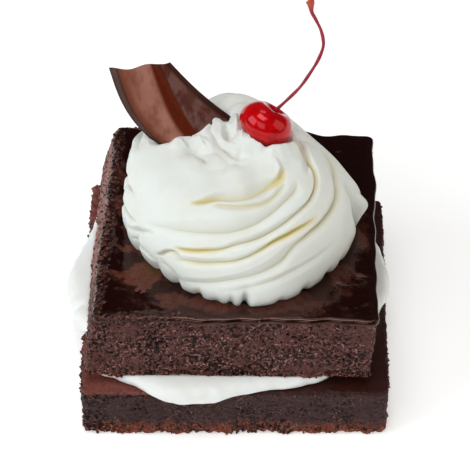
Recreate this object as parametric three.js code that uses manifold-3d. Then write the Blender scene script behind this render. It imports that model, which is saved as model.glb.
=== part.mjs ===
// A stacked brownie: two brownie squares with whipped cream between them, a piped cream
// swirl on the upper one, and a chocolate curl and a stemmed cherry set into the swirl.
// Millimetres, +Z up, the cut front faces -Y. The origin is the centre of the lower
// brownie's flat underside.
import * as THREE from "three";
import { mergeVertices } from "three/addons/utils/BufferGeometryUtils.js";
import Module from "manifold-3d";

const wasm = await Module();
wasm.setup();

// Driving dimensions
const GAP = 0.3;              // air kept between pieces that touch
const WALL_CURVE = 0.55;      // below 1, a leaning wall flares most just under the top edge
const BROAD_WAVE = 23;        // wavelengths of the unevenness of a cut side
const FINE_WAVE = 8;

const LOWER = {
  // front left, front right, back right, back left
  corners: [[-44.6, -43.6], [44.2, -43.6], [46.8, 41], [-46, 45.5]],
  foot: [[-44.6, -43.6], [44.2, -43.6], [46.8, 41], [-46, 45.5]],
  bottom: 0,
  top: 17.3,
  cornerRadius: 2.2,
  edgeRadius: 1.4,
  sideRows: 3,
  relief: 0.45,
};

const UPPER = {
  corners: [[-39.6, -38.6], [39.9, -39.6], [42.8, 38.3], [-37, 41.6]],
  foot: [[-43.6, -39.4], [38.6, -40.4], [41.6, 38.6], [-41.8, 41.8]],
  bottom: 20.4,
  top: 44,
  cornerRadius: 2.2,
  edgeRadius: 2,
  sideRows: 4,
  relief: 0.6,
};

// Where the filling's rim runs, and how low the cream hangs there: x, y, lowest z
const FILLING_RIM = [
  [-40, -36, 17.4], [-35, -38.8, 17.2], [-28.5, -41.4, 16.8], [-21.5, -45.7, 15.4], [-14, -46.8, 14.6],
  [-6, -46, 15], [2, -44.4, 16.5], [11, -42.8, 17], [20, -41, 17], [28, -37.4, 17], [37, -27, 17],
  [42, -14, 15], [46.6, -4, 12.5], [47, 4, 12], [45.2, 13, 13], [41.5, 20, 16], [39, 31, 17],
  [28, 40, 17], [12, 46, 14.5], [-8, 48, 12.5], [-24, 43.5, 15], [-38, 37, 16], [-43, 29, 15],
  [-46.8, 16, 12], [-51, 3, 10.5], [-49.6, -8, 12], [-47.4, -12, 13.8], [-48.6, -14.6, 12.8],
  [-45.5, -18.6, 14.5], [-41, -27, 17],
];
const FILLING_SWELL = 1.1;    // how far the rim stands above the upper brownie's underside
// Section of the filling from the middle of its underside to the middle of its top: share of
// the way out, and height from the rim's lowest (0) to its highest (1)
const FILLING_SECTION = [
  [0, 0], [0.5, 0], [0.86, 0], [0.96, 0.03], [0.995, 0.22], [1, 0.45], [0.985, 0.72], [0.95, 0.93],
  [0.89, 1], [0.5, 1], [0, 1],
];
const FILLING_HANGS_FROM = 0.9;   // share of the way out beyond which the cream hangs

const SWIRL = {
  centre: [2, 2],
  radius: 35,                 // at the widest, a little above the base
  height: 28,
  flare: 0.62,                // below 1 keeps the flanks steep and the top broad
  tuck: 0.07,                 // share of the radius that the base is narrower
  ridges: 10,
  ridgePoints: 7,             // columns across one ridge
  sweep: 246,                 // degrees that a ridge turns from the base to the crown
  ridgeDepth: 3.2,
  ridgeSharpness: 0.8,        // below 1, the valleys are narrower than the crests
  crown: [0.66, 0.86],        // shares of the way up between which the ridges die out
  crownLumps: 1.2,
  lumpWave: 12,
  smoothFace: { azimuth: -165, width: 62, from: 0.36, to: 0.56 },   // side smoothed by the nozzle
  rows: 26,
};

// Where the swirl's form departs from an even dome: the middle and the width of the place in
// degrees, its share of the way up and the spread of that, and how far it goes out and up
const SWELLS = [
  [157, 34, 0.42, 0.26, 4.2, 0.6],     // tall shoulder on the left
  [97, 20, 0.6, 0.24, 0.4, 3.4],       // crest at the back
  [1, 9, 0.22, 0.09, 3.2, 0],          // lobe on the right
  [-16, 12, 0.2, 0.12, -1.2, 0],       // hollow before the lobe
  [38, 30, 0.4, 0.4, -4, -1],          // lower flank behind the lobe
  [-82, 26, 0, 0.12, 2.6, 0],          // foot spread to the front
  [-140, 18, 0, 0.12, -1.2, 0],        // foot drawn in at the front left
];

// Folds where one turn of cream lies on another: from and to azimuth, share of the way up at
// each, the spread across and the depth
const FOLDS = [
  [-128, -36, 0.64, 0.79, 0.028, 2.4],
  [-40, 30, 0.36, 0.56, 0.05, 2.2],
  [60, 200, 0.3, 0.5, 0.035, 1.6],
];

const CURL = {
  // top left, top right, lower left and lower right corners of the sheet
  corners: [[-35.9, 17.8, 88], [-18.5, 19.6, 88.8], [-14, 4, 63.5], [5, 14.6, 67]],
  thickness: 1.3,
  bow: 3.2,                   // how far the sheet's middle bulges to the front
  ripple: 0.5,
  sagWay: [-0.8, 0, -0.6],
  sag: [3.6, 1.6],            // how far the left and the right edge curve that way
  ragged: [1.6, 0.5],         // dip and small unevenness of the broken top edge
  across: 8,
  down: 10,
};

const CHERRY = {
  centre: [8.9, 7.6, 75],
  lean: [0.5, 0, 0.86],       // the way its stem end points
  radius: 7.8,
  height: 12.8,
  dimple: 2.2,
  dimpleRadius: 2.4,
  columns: 32,
  rows: 16,
};

const STEM = {
  // from just outside the dimple to the tip
  route: [[15, 9.3, 82.9], [18.4, 11.5, 86.2], [21.4, 13.7, 89.9], [23.4, 15.3, 92.9],
    [24.7, 16.8, 95.9], [24.8, 17.8, 98], [24.1, 19, 100.6], [22.7, 20.3, 103.1], [21.5, 21.3, 105.1],
    [21.1, 22.4, 107.4], [20.6, 22.8, 108.5]],
  radius: 0.5,
  knobRadius: 1.3,
  knobLength: 4.4,
  sides: 8,
  steps: 30,
};

function piece(name, geometry, color, roughness) {
  const mesh = new THREE.Mesh(geometry, new THREE.MeshStandardMaterial({ color, roughness, metalness: 0 }));
  mesh.name = name;
  return mesh;
}

// Keeps only the places, joins the points that coincide and drops the triangles that collapse.
function weld(geometry) {
  geometry.deleteAttribute("normal");
  geometry.deleteAttribute("uv");
  const merged = mergeVertices(geometry, 1e-4);
  const index = merged.getIndex().array;
  const kept = [];
  for (let k = 0; k < index.length; k += 3) {
    const [a, b, c] = index.slice(k, k + 3);
    if (a !== b && b !== c && c !== a) kept.push(a, b, c);
  }
  merged.setIndex(kept);
  return merged;
}

// A closed skin of columns round an axis and rows along it. place(i, j) gives the point of
// column i on row j; the first and last row are each one point.
function skin(columns, rows, place) {
  const spindle = Array.from({ length: rows + 1 },
    (_, j) => new THREE.Vector2(Math.sin((Math.PI * j) / rows), j));
  const geometry = new THREE.LatheGeometry(spindle, columns);
  const position = geometry.getAttribute("position");
  for (let i = 0; i <= columns; i++) {
    for (let j = 0; j <= rows; j++) {
      const p = place(i % columns, j);
      position.setXYZ(i * (rows + 1) + j, p.x, p.y, p.z);
    }
  }
  return weld(geometry);
}

function toSolid(geometry) {
  return new wasm.Manifold(new wasm.Mesh({
    numProp: 3,
    vertProperties: Float32Array.from(geometry.getAttribute("position").array),
    triVerts: Uint32Array.from(geometry.getIndex().array),
  }));
}

// The largest body of a solid, as a geometry.
function toGeometry(solid) {
  const bodies = solid.decompose().sort((a, b) => b.volume() - a.volume());
  const mesh = bodies[0].getMesh();
  const geometry = new THREE.BufferGeometry();
  geometry.setAttribute("position", new THREE.BufferAttribute(mesh.vertProperties, 3));
  geometry.setIndex(Array.from(mesh.triVerts));
  return geometry;
}

// Smooth, repeatable unevenness between -1 and 1 at a place, for a wavelength in millimetres.
function uneven(p, wavelength, phase = 0) {
  const k = (2 * Math.PI) / wavelength;
  return (Math.sin(k * (p.x + 0.37 * p.y) + phase)
    + Math.sin(k * (0.81 * p.y - 0.43 * p.z) + 2.1 * phase + 1)
    + Math.sin(k * (0.66 * p.z - 0.54 * p.x) + 1.3 * phase + 4)) / 3;
}

const mix = (a, b, t) => a + (b - a) * t;
const smooth = (t) => THREE.MathUtils.smoothstep(t, 0, 1);
// A bump of height 1 round the middle of an angle, in degrees, that fades over its width.
const nearAngle = (angle, middle, width) => {
  const off = THREE.MathUtils.euclideanModulo(angle - middle + 180, 360) - 180;
  return Math.exp(-((off / width) ** 2));
};

// Brownie squares

const SLAB_COLUMNS = 80;
const CAP_RINGS = [0.3, 0.6, 0.86];   // rings of the flat faces, as a share of the way out

// A rounded quadrilateral with as many points as the slab has columns.
function slabOutline(corners, radius) {
  const shape = new THREE.Shape();
  corners.forEach((corner, k) => {
    const here = new THREE.Vector2(...corner);
    const before = new THREE.Vector2(...corners.at(k - 1)).sub(here).setLength(radius).add(here);
    const after = new THREE.Vector2(...corners[(k + 1) % corners.length]).sub(here)
      .setLength(radius).add(here);
    if (k === 0) shape.moveTo(before.x, before.y);
    else shape.lineTo(before.x, before.y);
    shape.quadraticCurveTo(here.x, here.y, after.x, after.y);
  });
  shape.closePath();
  return shape.getSpacedPoints(SLAB_COLUMNS).slice(0, SLAB_COLUMNS);
}

// Rows of a slab from the middle of its underside to the middle of its top. Each gives the
// share of the way out, the inset from the side and the height.
function slabRows({ bottom, top, edgeRadius: edge, sideRows }) {
  const rows = [[0, 0, bottom]];
  CAP_RINGS.forEach((share) => rows.push([share, 0, bottom]));
  rows.push([1, edge * 0.5, bottom], [1, edge * 0.1, bottom + edge * 0.3]);
  for (let k = 0; k <= sideRows; k++) {
    rows.push([1, 0, mix(bottom + edge, top - edge, k / sideRows)]);
  }
  rows.push([1, edge * 0.3, top - edge * 0.3], [1, edge, top]);
  [...CAP_RINGS].reverse().forEach((share) => rows.push([share, 0, top]));
  rows.push([0, 0, top]);
  return rows;
}

function slab(spec) {
  const rows = slabRows(spec);
  const ring = slabOutline(spec.corners, spec.cornerRadius);
  const footRing = slabOutline(spec.foot, spec.cornerRadius);
  const middle = ring.reduce((sum, p) => sum.add(p), new THREE.Vector2()).divideScalar(ring.length);
  return skin(SLAB_COLUMNS, rows.length - 1, (i, j) => {
    const [share, inset, z] = rows[j];
    const fall = ((spec.top - z) / (spec.top - spec.bottom)) ** WALL_CURVE;
    const out = ring[i].clone().lerp(footRing[i], fall).sub(middle);
    out.setLength(out.length() * share - inset);
    const p = new THREE.Vector3(middle.x + out.x, middle.y + out.y, z);
    const wander = spec.relief * (uneven(p, BROAD_WAVE, 1) + 0.7 * uneven(p, FINE_WAVE, 2)) * share ** 6;
    out.setLength(out.length() ? wander : 0);
    return p.add(new THREE.Vector3(out.x, out.y, 0));
  });
}

const lowerGeometry = slab(LOWER);
const upperGeometry = slab(UPPER);

// Cream between the squares

const FILLING_COLUMNS = 66;

function filling() {
  const rim = new THREE.CatmullRomCurve3(FILLING_RIM.map((p) => new THREE.Vector3(...p)), true)
    .getSpacedPoints(FILLING_COLUMNS).slice(0, FILLING_COLUMNS);
  const above = UPPER.bottom + FILLING_SWELL;
  const body = skin(FILLING_COLUMNS, FILLING_SECTION.length - 1, (i, j) => {
    const [share, height] = FILLING_SECTION[j];
    const low = share > FILLING_HANGS_FROM ? rim[i].z : LOWER.top - 2;
    return new THREE.Vector3(rim[i].x * share, rim[i].y * share, mix(low, above, height));
  });
  const spare = 1 + GAP / LOWER.corners[1][0];
  const below = toSolid(lowerGeometry).scale([spare, spare, 1]).translate([0, 0, GAP]);
  const over = toSolid(upperGeometry).scale([spare, spare, 1]).translate([0, 0, -GAP]);
  return toGeometry(toSolid(body).subtract(below).subtract(over));
}

// Chocolate curl

function curl(extra) {
  const [topLeft, topRight, lowLeft, lowRight] = CURL.corners.map((p) => new THREE.Vector3(...p));
  const acrossWay = topRight.clone().sub(topLeft);
  const downWay = lowLeft.clone().sub(topLeft);
  const front = new THREE.Vector3().crossVectors(downWay, acrossWay).normalize();
  const sag = new THREE.Vector3(...CURL.sagWay);
  const geometry = new THREE.BoxGeometry(1, 1, 1, CURL.across, CURL.down, 1);
  const position = geometry.getAttribute("position");
  const half = CURL.thickness / 2 + extra;
  const sideWays = acrossWay.clone().normalize();
  for (let k = 0; k < position.count; k++) {
    const u = position.getX(k) + 0.5;
    const v = 0.5 - position.getY(k);
    const p = topLeft.clone().lerp(topRight, u).lerp(lowLeft.clone().lerp(lowRight, u), v);
    const bow = CURL.bow * (1 - (2 * u - 1) ** 2) + CURL.ripple * Math.sin(9 * u + 3 * v);
    p.addScaledVector(front, bow + 2 * half * position.getZ(k));
    p.addScaledVector(sag, mix(...CURL.sag, u) * Math.sin(Math.PI * v));
    p.addScaledVector(sideWays, extra * Math.sign(u - 0.5));
    const [dip, jag] = CURL.ragged;
    p.z -= (dip * Math.sin(Math.PI * u) - jag * Math.sin(11 * u + 1)) * (1 - v);
    p.z += extra * (1 - 2 * v);
    position.setXYZ(k, p.x, p.y, p.z);
  }
  return weld(geometry);
}

// Cherry and stem

const cherryAxis = new THREE.Vector3(...CHERRY.lean).normalize();
const cherryCentre = new THREE.Vector3(...CHERRY.centre);

// An oblate ball with a dimple at its upper end, grown by extra all round.
function cherry(extra) {
  const { radius, height, dimple, dimpleRadius, columns, rows } = CHERRY;
  const turn = new THREE.Quaternion().setFromUnitVectors(new THREE.Vector3(0, 0, 1), cherryAxis);
  return skin(columns, rows, (i, j) => {
    const rise = (j / rows - 0.5) * Math.PI;
    const round = (2 * Math.PI * i) / columns;
    const r = j % rows === 0 ? 0 : radius * Math.cos(rise);
    const dip = j > rows / 2 ? dimple * Math.exp(-((r / dimpleRadius) ** 2)) : 0;
    const z = (Math.sin(rise) * height) / 2 - dip;
    const p = new THREE.Vector3(r * Math.cos(round), r * Math.sin(round), z);
    return p.setLength(p.length() + extra).applyQuaternion(turn).add(cherryCentre);
  });
}

function stem() {
  const foot = cherryCentre.clone()
    .addScaledVector(cherryAxis, CHERRY.height / 2 - CHERRY.dimple + 1.5 * GAP);
  const route = new THREE.CatmullRomCurve3([foot, ...STEM.route.map((p) => new THREE.Vector3(...p))]);
  const length = route.getLength();
  const frames = route.computeFrenetFrames(STEM.steps, false);
  return skin(STEM.sides, STEM.steps, (i, j) => {
    const along = j / STEM.steps;
    const toTip = (1 - along) * length;
    const knob = smooth(1 - toTip / STEM.knobLength);
    const end = j === 0 || j === STEM.steps ? 0 : 1;
    const radius = end * mix(STEM.radius, STEM.knobRadius, knob);
    const round = (2 * Math.PI * i) / STEM.sides;
    return route.getPointAt(along)
      .addScaledVector(frames.normals[j], radius * Math.cos(round))
      .addScaledVector(frames.binormals[j], radius * Math.sin(round));
  });
}

// Piped swirl

// The swirl's surface at an azimuth in degrees and a share of the way from the base to the
// crown; ridge counts the ridges round it.
function swirlPoint(azimuth, share, ridge) {
  const { centre, radius, height, flare, tuck, smoothFace } = SWIRL;
  const rise = share * Math.PI / 2;
  let r = radius * Math.cos(rise) ** flare * (1 - tuck * Math.exp(-share / 0.07));
  let z = height * Math.sin(rise);
  for (const [middle, width, level, spread, out, up] of SWELLS) {
    const here = nearAngle(azimuth, middle, width) * Math.exp(-(((share - level) / spread) ** 2));
    r += out * here;
    z += up * here;
  }
  for (const [from, to, low, high, spread, deep] of FOLDS) {
    const along = THREE.MathUtils.euclideanModulo(azimuth - from, 360) / (to - from);
    const off = (share - mix(low, high, along)) / spread;
    r -= along < 1 ? deep * Math.sqrt(Math.sin(Math.PI * along)) * Math.exp(-(off ** 2)) : 0;
  }
  const calm = 0.85 * nearAngle(azimuth, smoothFace.azimuth, smoothFace.width)
    * smooth((share - smoothFace.from) / (smoothFace.to - smoothFace.from));
  const crown = smooth((share - SWIRL.crown[0]) / (SWIRL.crown[1] - SWIRL.crown[0]));
  const uneasy = 0.8 + 0.35 * Math.sin(2.4 * Math.round(ridge));
  const depth = SWIRL.ridgeDepth * uneasy * (1 - calm) * (1 - 0.9 * crown);
  const crest = Math.abs(Math.cos(Math.PI * ridge)) ** SWIRL.ridgeSharpness - 0.62;
  r += crest * depth * Math.cos(rise * 0.9);
  z += crest * depth * Math.sin(rise);
  const angle = THREE.MathUtils.degToRad(azimuth);
  const p = new THREE.Vector3(centre[0] + r * Math.cos(angle), centre[1] + r * Math.sin(angle), z);
  p.z += SWIRL.crownLumps * crown * uneven(p, SWIRL.lumpWave, 3);
  return p;
}

function swirl() {
  const { centre, height, ridges, ridgePoints, sweep, rows } = SWIRL;
  const columns = ridges * ridgePoints;
  const base = UPPER.top + 1.5 * GAP;
  const underside = [0, 0.5];   // rings of the flat underside, as a share of the way out
  const body = skin(columns, underside.length + rows, (i, j) => {
    const share = (j - underside.length) / rows;
    if (share === 1) return new THREE.Vector3(...centre, base + height);
    const up = Math.max(share, 0);
    const p = swirlPoint((360 * i) / columns + sweep * up, up, i / ridgePoints);
    const out = underside[j] ?? 1;
    return p.set(mix(centre[0], p.x, out), mix(centre[1], p.y, out), up > 0 ? p.z + base : base);
  });
  return toGeometry(toSolid(body).subtract(toSolid(cherry(GAP))).subtract(toSolid(curl(GAP))));
}

const brownie = new THREE.Group();
brownie.add(
  piece("brownie_lower", lowerGeometry, "#3f2723", 0.85),
  piece("cream_filling", filling(), "#f1f1ea", 0.55),
  piece("brownie_upper", upperGeometry, "#3a2422", 0.8),
  piece("cream_swirl", swirl(), "#f4f3ec", 0.5),
  piece("chocolate_curl", curl(0), "#5a3026", 0.35),
  piece("cherry", cherry(0), "#b80a14", 0.15),
  piece("cherry_stem", stem(), "#8e1c33", 0.4),
);

export default brownie;
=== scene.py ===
import math

import bmesh
import bpy
import numpy as np
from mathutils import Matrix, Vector, noise


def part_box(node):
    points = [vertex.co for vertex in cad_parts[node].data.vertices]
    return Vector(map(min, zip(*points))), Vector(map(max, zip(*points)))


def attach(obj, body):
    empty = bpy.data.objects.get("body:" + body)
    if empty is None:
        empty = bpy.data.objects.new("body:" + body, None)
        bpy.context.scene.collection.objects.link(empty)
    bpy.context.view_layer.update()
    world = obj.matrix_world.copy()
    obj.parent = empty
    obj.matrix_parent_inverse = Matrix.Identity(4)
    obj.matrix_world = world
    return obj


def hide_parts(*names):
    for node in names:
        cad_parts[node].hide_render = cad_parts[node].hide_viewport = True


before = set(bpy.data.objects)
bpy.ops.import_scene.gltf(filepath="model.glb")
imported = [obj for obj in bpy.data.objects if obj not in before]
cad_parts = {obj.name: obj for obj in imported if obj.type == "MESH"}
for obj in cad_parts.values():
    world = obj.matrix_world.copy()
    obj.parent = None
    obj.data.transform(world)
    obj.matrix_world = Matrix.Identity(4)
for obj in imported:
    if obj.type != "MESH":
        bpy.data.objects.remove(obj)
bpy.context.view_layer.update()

# A stacked brownie: two brownie squares with whipped cream between them, a chocolate glaze
# on the upper one, and a piped cream swirl that holds a chocolate curl and a stemmed cherry.
# Forms are worked out in millimetres and set into the meshes in metres.

MM = 0.001


def levels(node):
    """The lowest and the highest level of a solid, in millimetres."""
    low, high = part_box(node)
    return low.z / MM, high.z / MM


# Measures of the piece

LOWER_BOTTOM, LOWER_TOP = levels("brownie_lower")
UPPER_BOTTOM, UPPER_TOP = levels("brownie_upper")

WALL_CURVE = 0.55      # below 1, a leaning wall flares most just under the top edge

# Outlines of the squares, anticlockwise from the front left: corners at the top, foot below
LOWER_OUTLINE = [(-44.6, -43.6), (44.2, -43.6), (46.8, 38.8), (-46, 45.5)]

LOWER = {
    "corners": LOWER_OUTLINE,
    "foot": LOWER_OUTLINE,
    "bottom": LOWER_BOTTOM,
    "top": LOWER_TOP,
    "corner_radius": 2.2,
    "edge_radius": 1.1,
    "relief": 0.45,         # how far the walls wander in and out
    "columns": 820,
    "wall_rows": 42,
    "pores": 0.45,          # depth of the pores
    "pore_share": 0.04,     # how many pores there are
    "open_crumb": 0.02,     # how open the crumb looks between them
    "left_open": 1,         # 1 opens the crumb towards the left end, 0 does not
    "crust": 5.8,           # height of the baked crust at the foot
    "smooth_top": 1.0,      # how far the baked top closes the pores
}

UPPER = {
    "corners": [(-39.2, -38.6), (39.9, -39.6), (42.8, 38.3), (26.5, 38.8), (20, 42.6), (-35.6, 42.8)],
    "foot": [(-43.6, -39.4), (38.6, -40.4), (41.6, 38.6), (27, 38.8), (20, 42.2), (-43.2, 42.4)],
    "bottom": UPPER_BOTTOM,
    "top": UPPER_TOP,
    "corner_radius": 1.6,
    "edge_radius": 0.9,
    "relief": 0.6,
    "columns": 820,
    "wall_rows": 62,
    "pores": 0.65,
    "pore_share": 0.4,
    "open_crumb": 0.5,
    "left_open": 0,
    "crust": 2.6,
    "smooth_top": 0.3,
}

GLAZE = {
    "thickness": 0.2,
    "lip": 0.25,            # how far it runs down the wall
    "lip_wave": 0.5,
    "bead": 0.08,           # thicker rim
    "sunk": 0.5,            # how deep its inner face lies in the crumb
    "columns": 720,
}

# Patches of painted reflection on the glaze, also less glossy: x, y, half length along x and along y,
# strength
CLOUDS = [
    (-30, -8, 5, 8, 1.0), (-25, -21, 8, 6, 1.0), (-12, -32.5, 13, 3.6, 0.62), (8, -35, 12, 3.4, 0.45),
    (16, -31, 8, 4, 0.4), (30, -21, 3.5, 5, 0.4), (37, -6, 2.4, 8, 0.4), (-33.5, 12, 2, 12, 0.6),
]
OLIVE_SPOT = (-23, -18.5, 3.4, 3.6)      # a greener one among them: x, y and half lengths

# Where the filling's rim runs, and how low the cream hangs there: x, y, lowest z
FILLING_RIM = [
    (-40, -36, 17.4), (-35, -38.8, 17.2), (-28.5, -41.4, 16.8), (-21.5, -45.7, 15.4), (-14, -46.8, 14.6),
    (-6, -46, 15), (2, -44.4, 16.5), (11, -42.8, 17), (20, -41, 17), (28, -37.4, 17), (37, -27, 17),
    (42, -14, 15), (46.6, -4, 12.5), (47, 4, 12), (45.2, 13, 13), (41.5, 20, 16), (39, 31, 17),
    (28, 40, 17), (12, 46, 14.5), (-8, 48, 12.5), (-24, 43.5, 15), (-38, 37, 16), (-43, 29, 15),
    (-46.8, 16, 12), (-51, 3, 10.5), (-49.6, -8, 12), (-47.4, -12, 13.8), (-48.6, -14.6, 12.8),
    (-45.5, -18.6, 14.5), (-41, -27, 17),
]
FILLING = {"columns": 520, "rows": 72, "swell": 1.1}

SWIRL = {
    "centre": (2, 2),
    "radius": 34.4,
    "height": 28,
    "flare": 0.62,          # below 1 keeps the flanks steep and the top broad
    "tuck": 0.045,
    "tuck_height": 0.07,
    "ridges": 10,
    "sweep": 246,           # degrees that a ridge turns from the base to the crown
    "ridge_depth": 2.6,
    "ridge_sharpness": 0.8,
    "front_middle": -88,    # azimuth of the side where drawn creases take the ridges' place
    "front_half": 117,      # how far that side reaches to either hand
    "front_fade": 22,       # and over how many of these degrees it fades
    "front_swell": 1.0,
    "columns": 560,
    "rows": 148,
    "foot_rows": 4,         # rows over its flat underside
    "raised": 0.2,          # the height of that underside over the upper square's solid
}

# Where the swirl departs from an even dome: middle and width in degrees, share of the way up
# and its spread, how far it goes out and up
SWELLS = [
    (163, 30, 0.6, 0.22, 5.8, 0.8),
    (180, 44, 0.25, 0.26, 0.5, 0),
    (97, 20, 0.6, 0.24, 0.4, 3.4),
    (4, 10, 0.2, 0.1, 1.3, 0),
    (-5, 3, 0.2, 0.1, 2.6, 0),
    (-20, 11, 0.2, 0.12, -1.8, 0),
    (38, 30, 0.4, 0.4, -4, -1),
    (-82, 26, 0, 0.12, 2.6, 0),
    (-140, 18, 0, 0.12, -1.2, 0),
]

# Creases between the turns of cream, from the lowest to the highest. Each point gives azimuth,
# share of the way up, depth, how strongly golden shade is painted in it, and how far up its
# shaded upper wall reaches; below is how far down its lower wall reaches. Both reaches are shares of the
# way up.
CREASES = [
    {"below": 0.05, "line": [
        (-105, 0.1, 0, 0, 0.03), (-89, 0.135, 0.5, 0, 0.04), (-77, 0.17, 0.8, 0, 0.04),
        (-66, 0.2, 0.8, 0, 0.04), (-50, 0.23, 0.5, 0, 0.04), (-35, 0.25, 0, 0, 0.04)]},
    {"below": 0.07, "line": [
        (-128, 0.09, 0, 0, 0.04), (-109, 0.135, 0.9, 0, 0.05), (-98, 0.175, 1.1, 0, 0.05),
        (-89, 0.205, 1.2, 0, 0.06), (-81, 0.235, 1.4, 0, 0.075), (-75, 0.265, 1.6, 0.1, 0.085),
        (-70, 0.29, 1.7, 0.1, 0.1), (-66, 0.335, 1.6, 0.1, 0.075), (-62, 0.375, 1.4, 0.1, 0.045),
        (-56, 0.4, 1.6, 0.2, 0.035), (-50, 0.42, 1.8, 0.3, 0.03), (-44, 0.425, 2.0, 0.3, 0.04),
        (-36, 0.43, 2.4, 0.2, 0.06), (-28, 0.43, 2.6, 0.2, 0.085), (-18, 0.445, 2.8, 0.2, 0.12),
        (-10, 0.485, 2.6, 0.2, 0.14), (8, 0.53, 2.0, 0.2, 0.14), (30, 0.58, 0, 0, 0.1)]},
    {"below": 0.05, "line": [
        (-125, 0.25, 0, 0, 0.04), (-118, 0.27, 1.0, 0.3, 0.045), (-110, 0.285, 1.4, 0.4, 0.045),
        (-103, 0.305, 1.4, 0.35, 0.045), (-93, 0.33, 1.4, 0.3, 0.04), (-86, 0.365, 1.4, 0.3, 0.04),
        (-80, 0.405, 1.5, 0.5, 0.035), (-73, 0.445, 1.8, 0.9, 0.03), (-64, 0.465, 1.9, 1.0, 0.03),
        (-56, 0.48, 1.6, 1.0, 0.025), (-49, 0.485, 0.8, 0.8, 0.02), (-44, 0.49, 0, 0.3, 0.02)]},
    {"below": 0.045, "line": [
        (-127, 0.33, 0, 0, 0.02), (-121, 0.34, 1.0, 1.0, 0.025), (-109, 0.38, 1.5, 0.8, 0.03),
        (-101, 0.405, 1.4, 0.4, 0.03), (-94, 0.44, 1.4, 0.2, 0.045), (-86, 0.465, 1.5, 0.1, 0.05),
        (-78, 0.495, 1.6, 0.1, 0.05), (-67, 0.535, 1.6, 0.1, 0.045), (-53, 0.58, 1.7, 0.1, 0.03),
        (-42, 0.605, 1.8, 0.2, 0.02), (-33, 0.635, 2.0, 0.5, 0.02), (-24, 0.68, 2.2, 0.9, 0.02),
        (-16, 0.725, 2.3, 1.0, 0.02), (-8, 0.765, 2.2, 0.8, 0.02), (0, 0.79, 2.0, 0.3, 0.03),
        (12, 0.81, 1.2, 0, 0.04), (22, 0.83, 0, 0, 0.04)]},
    {"below": 0.07, "line": [
        (-152, 0.34, 0, 0, 0.06), (-134, 0.42, 0.9, 0, 0.06), (-125, 0.455, 1.2, 0, 0.085),
        (-111, 0.495, 1.5, 0, 0.105), (-97, 0.525, 1.6, 0, 0.115), (-85, 0.57, 1.6, 0, 0.1),
        (-71, 0.63, 1.5, 0, 0.075), (-59, 0.675, 1.4, 0, 0.055), (-46, 0.705, 1.2, 0.1, 0.04),
        (-36, 0.74, 0, 0, 0.03)]},
    {"below": 0.03, "line": [
        (-112, 0.69, 0, 0, 0.02), (-108, 0.695, 0.8, 0.2, 0.02), (-99, 0.7, 1.1, 0.3, 0.025),
        (-86, 0.705, 1.2, 0.35, 0.03), (-76, 0.71, 1.3, 0.35, 0.03), (-67, 0.725, 1.4, 0.3, 0.03),
        (-59, 0.745, 1.3, 0.2, 0.03), (-51, 0.765, 0.9, 0, 0.03), (-44, 0.78, 0, 0, 0.02)]},
    {"below": 0.03, "line": [
        (-127, 0.66, 0, 0.5, 0.02), (-122, 0.675, 1.2, 1.0, 0.04), (-117, 0.7, 2.0, 1.0, 0.05),
        (-110, 0.73, 2.0, 0.5, 0.06), (-99, 0.745, 1.8, 0.2, 0.08), (-88, 0.755, 1.8, 0.2, 0.08),
        (-74, 0.785, 1.8, 0.3, 0.07), (-63, 0.805, 2.0, 0.6, 0.055), (-52, 0.805, 2.3, 0.9, 0.04),
        (-46, 0.81, 2.2, 0.9, 0.035), (-40, 0.825, 1.2, 0.5, 0.03), (-34, 0.84, 0, 0.2, 0.02)]},
    # short ones on the left, where the turns end in small curls
    {"below": 0.06, "line": [
        (150, 0.2, 0, 0, 0.05), (164, 0.27, 2.4, 0, 0.05), (174, 0.32, 2.8, 0, 0.05),
        (186, 0.37, 1.6, 0, 0.04), (200, 0.42, 0, 0, 0.04)]},
    {"below": 0.05, "line": [
        (165, 0.12, 0, 0, 0.04), (178, 0.17, 2.0, 0, 0.04), (188, 0.2, 2.2, 0, 0.04),
        (198, 0.24, 1.4, 0, 0.03), (208, 0.28, 0, 0, 0.03)]},
    {"below": 0.03, "line": [
        (-162, 0.16, 0, 0, 0.02), (-155, 0.2, 1.4, 0, 0.03), (-149, 0.26, 1.3, 0.1, 0.03),
        (-143, 0.31, 0.8, 0, 0.03), (-138, 0.33, 0, 0, 0.02)]},
    {"below": 0.03, "line": [
        (-158, 0.12, 0, 0, 0.02), (-150, 0.14, 1.3, 0.1, 0.03), (-144, 0.145, 1.5, 0.1, 0.03),
        (-139, 0.135, 1.2, 0, 0.03), (-134, 0.12, 0, 0, 0.02)]},
    {"below": 0.02, "line": [
        (-135, 0.2, 0, 0, 0.015), (-132, 0.23, 1.5, 0.4, 0.02), (-129, 0.275, 1.6, 0.4, 0.02),
        (-126, 0.295, 1.3, 0.3, 0.02), (-123, 0.285, 0.8, 0, 0.02), (-120, 0.27, 0, 0, 0.02)]},
    {"below": 0.02, "line": [
        (-134, 0.21, 0, 0, 0.015), (-130, 0.175, 1.0, 0, 0.02), (-125, 0.15, 1.2, 0, 0.02),
        (-121, 0.11, 1.0, 0, 0.02), (-116, 0.07, 0, 0, 0.02)]},
]

# Nicks in the swirl's foot: azimuth, width in degrees, depth, and share of the way up
NICKS = [
    (179, 2.6, 2.2, 0.32), (-166, 2.4, 1.2, 0.16), (-152, 2.4, 2.4, 0.2), (-136, 2.2, 2.0, 0.12),
    (-123, 2, 1.7, 0.09), (-111, 2, 1.5, 0.07), (-102, 2, 0.8, 0.05), (-95.5, 1.5, 1.7, 0.07),
    (-89, 1.5, 3.0, 0.09), (-73, 2, 0.8, 0.05), (-60, 2, 1.3, 0.06), (-45, 2.4, 1.4, 0.06),
    (-34, 2, 0.9, 0.05), (-10, 1.9, 4.4, 0.3), (24, 4, 1.5, 0.07), (55, 4, 1.3, 0.07),
    (88, 4, 1.6, 0.07), (120, 4, 1.4, 0.07), (150, 4, 1.3, 0.07), (167, 3, 2.4, 0.4),
]

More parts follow.
